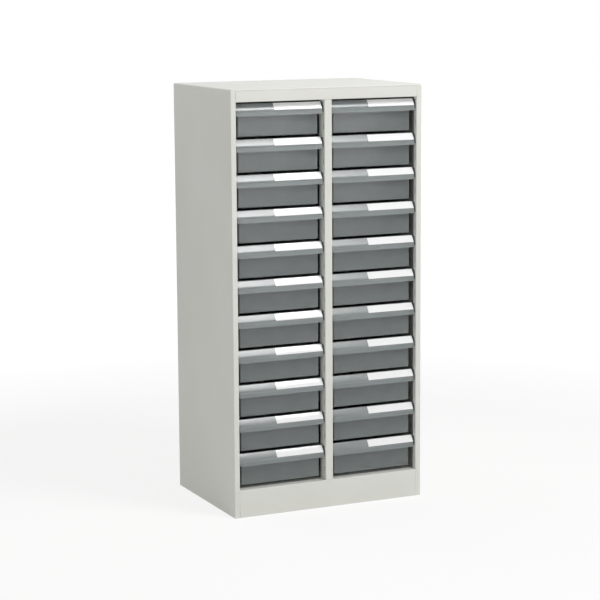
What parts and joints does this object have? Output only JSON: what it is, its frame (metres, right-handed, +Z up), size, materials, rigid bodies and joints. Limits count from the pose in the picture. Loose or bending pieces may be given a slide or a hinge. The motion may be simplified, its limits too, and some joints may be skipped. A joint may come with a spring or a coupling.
{
  "type": "document storage cabinet",
  "caption": "Free-standing painted steel cabinet with two columns of shallow smoke-grey drawers, each with a slanted handle lip and a label card.",
  "frame": {"origin": "on the floor under the middle of the cabinet's bounding box", "axes": "+X to the right as seen from the front, +Y to the back, +Z up; drawers open towards -Y"},
  "size_m": [0.54, 0.39, 1.1],
  "materials": {
    "painted_steel": "satin",
    "zinc_steel": "satin",
    "drawer_plastic": "gloss",
    "label_card": "matte",
    "glide_plastic": "matte"
  },
  "bodies": {
    "cabinet": {"side_panel_left": "painted_steel", "side_panel_right": "painted_steel", "top_panel": "painted_steel", "front_header": "painted_steel", "back_panel": "painted_steel", "floor_panel": "painted_steel", "plinth": "painted_steel", "centre_post": "painted_steel", "rear_posts": "painted_steel", "rails_left_outer": "zinc_steel", "rails_left_inner": "zinc_steel", "rails_right_inner": "zinc_steel", "rails_right_outer": "zinc_steel", "foot_brackets": "zinc_steel", "corner_glides": "glide_plastic", "back_screws": "zinc_steel"},
    "drawer_left_01": {"drawer_left_01": "drawer_plastic", "label_left_01": "label_card"},
    "drawer_left_02": {"drawer_left_02": "drawer_plastic", "label_left_02": "label_card"},
    "drawer_left_03": {"drawer_left_03": "drawer_plastic", "label_left_03": "label_card"},
    "drawer_left_04": {"drawer_left_04": "drawer_plastic", "label_left_04": "label_card"},
    "drawer_left_05": {"drawer_left_05": "drawer_plastic", "label_left_05": "label_card"},
    "drawer_left_06": {"drawer_left_06": "drawer_plastic", "label_left_06": "label_card"},
    "drawer_left_07": {"drawer_left_07": "drawer_plastic", "label_left_07": "label_card"},
    "drawer_left_08": {"drawer_left_08": "drawer_plastic", "label_left_08": "label_card"},
    "drawer_left_09": {"drawer_left_09": "drawer_plastic", "label_left_09": "label_card"},
    "drawer_left_10": {"drawer_left_10": "drawer_plastic", "label_left_10": "label_card"},
    "drawer_left_11": {"drawer_left_11": "drawer_plastic", "label_left_11": "label_card"},
    "drawer_right_01": {"drawer_right_01": "drawer_plastic", "label_right_01": "label_card"},
    "drawer_right_02": {"drawer_right_02": "drawer_plastic", "label_right_02": "label_card"},
    "drawer_right_03": {"drawer_right_03": "drawer_plastic", "label_right_03": "label_card"},
    "drawer_right_04": {"drawer_right_04": "drawer_plastic", "label_right_04": "label_card"},
    "drawer_right_05": {"drawer_right_05": "drawer_plastic", "label_right_05": "label_card"},
    "drawer_right_06": {"drawer_right_06": "drawer_plastic", "label_right_06": "label_card"},
    "drawer_right_07": {"drawer_right_07": "drawer_plastic", "label_right_07": "label_card"},
    "drawer_right_08": {"drawer_right_08": "drawer_plastic", "label_right_08": "label_card"},
    "drawer_right_09": {"drawer_right_09": "drawer_plastic", "label_right_09": "label_card"},
    "drawer_right_10": {"drawer_right_10": "drawer_plastic", "label_right_10": "label_card"},
    "drawer_right_11": {"drawer_right_11": "drawer_plastic", "label_right_11": "label_card"}
  },
  "joints": [
    {"name": "drawer_left_01_slide", "type": "slide", "parent": "cabinet", "child": "drawer_left_01", "axis": [0, -1, 0], "range_m": [0, 0.29]},
    {"name": "drawer_left_02_slide", "type": "slide", "parent": "cabinet", "child": "drawer_left_02", "axis": [0, -1, 0], "range_m": [0, 0.29]},
    {"name": "drawer_left_03_slide", "type": "slide", "parent": "cabinet", "child": "drawer_left_03", "axis": [0, -1, 0], "range_m": [0, 0.29]},
    {"name": "drawer_left_04_slide", "type": "slide", "parent": "cabinet", "child": "drawer_left_04", "axis": [0, -1, 0], "range_m": [0, 0.29]},
    {"name": "drawer_left_05_slide", "type": "slide", "parent": "cabinet", "child": "drawer_left_05", "axis": [0, -1, 0], "range_m": [0, 0.29]},
    {"name": "drawer_left_06_slide", "type": "slide", "parent": "cabinet", "child": "drawer_left_06", "axis": [0, -1, 0], "range_m": [0, 0.29]},
    {"name": "drawer_left_07_slide", "type": "slide", "parent": "cabinet", "child": "drawer_left_07", "axis": [0, -1, 0], "range_m": [0, 0.29]},
    {"name": "drawer_left_08_slide", "type": "slide", "parent": "cabinet", "child": "drawer_left_08", "axis": [0, -1, 0], "range_m": [0, 0.29]},
    {"name": "drawer_left_09_slide", "type": "slide", "parent": "cabinet", "child": "drawer_left_09", "axis": [0, -1, 0], "range_m": [0, 0.29]},
    {"name": "drawer_left_10_slide", "type": "slide", "parent": "cabinet", "child": "drawer_left_10", "axis": [0, -1, 0], "range_m": [0, 0.29]},
    {"name": "drawer_left_11_slide", "type": "slide", "parent": "cabinet", "child": "drawer_left_11", "axis": [0, -1, 0], "range_m": [0, 0.29]},
    {"name": "drawer_right_01_slide", "type": "slide", "parent": "cabinet", "child": "drawer_right_01", "axis": [0, -1, 0], "range_m": [0, 0.29]},
    {"name": "drawer_right_02_slide", "type": "slide", "parent": "cabinet", "child": "drawer_right_02", "axis": [0, -1, 0], "range_m": [0, 0.29]},
    {"name": "drawer_right_03_slide", "type": "slide", "parent": "cabinet", "child": "drawer_right_03", "axis": [0, -1, 0], "range_m": [0, 0.29]},
    {"name": "drawer_right_04_slide", "type": "slide", "parent": "cabinet", "child": "drawer_right_04", "axis": [0, -1, 0], "range_m": [0, 0.29]},
    {"name": "drawer_right_05_slide", "type": "slide", "parent": "cabinet", "child": "drawer_right_05", "axis": [0, -1, 0], "range_m": [0, 0.29]},
    {"name": "drawer_right_06_slide", "type": "slide", "parent": "cabinet", "child": "drawer_right_06", "axis": [0, -1, 0], "range_m": [0, 0.29]},
    {"name": "drawer_right_07_slide", "type": "slide", "parent": "cabinet", "child": "drawer_right_07", "axis": [0, -1, 0], "range_m": [0, 0.29]},
    {"name": "drawer_right_08_slide", "type": "slide", "parent": "cabinet", "child": "drawer_right_08", "axis": [0, -1, 0], "range_m": [0, 0.29]},
    {"name": "drawer_right_09_slide", "type": "slide", "parent": "cabinet", "child": "drawer_right_09", "axis": [0, -1, 0], "range_m": [0, 0.29]},
    {"name": "drawer_right_10_slide", "type": "slide", "parent": "cabinet", "child": "drawer_right_10", "axis": [0, -1, 0], "range_m": [0, 0.29]},
    {"name": "drawer_right_11_slide", "type": "slide", "parent": "cabinet", "child": "drawer_right_11", "axis": [0, -1, 0], "range_m": [0, 0.29]}
  ]
}
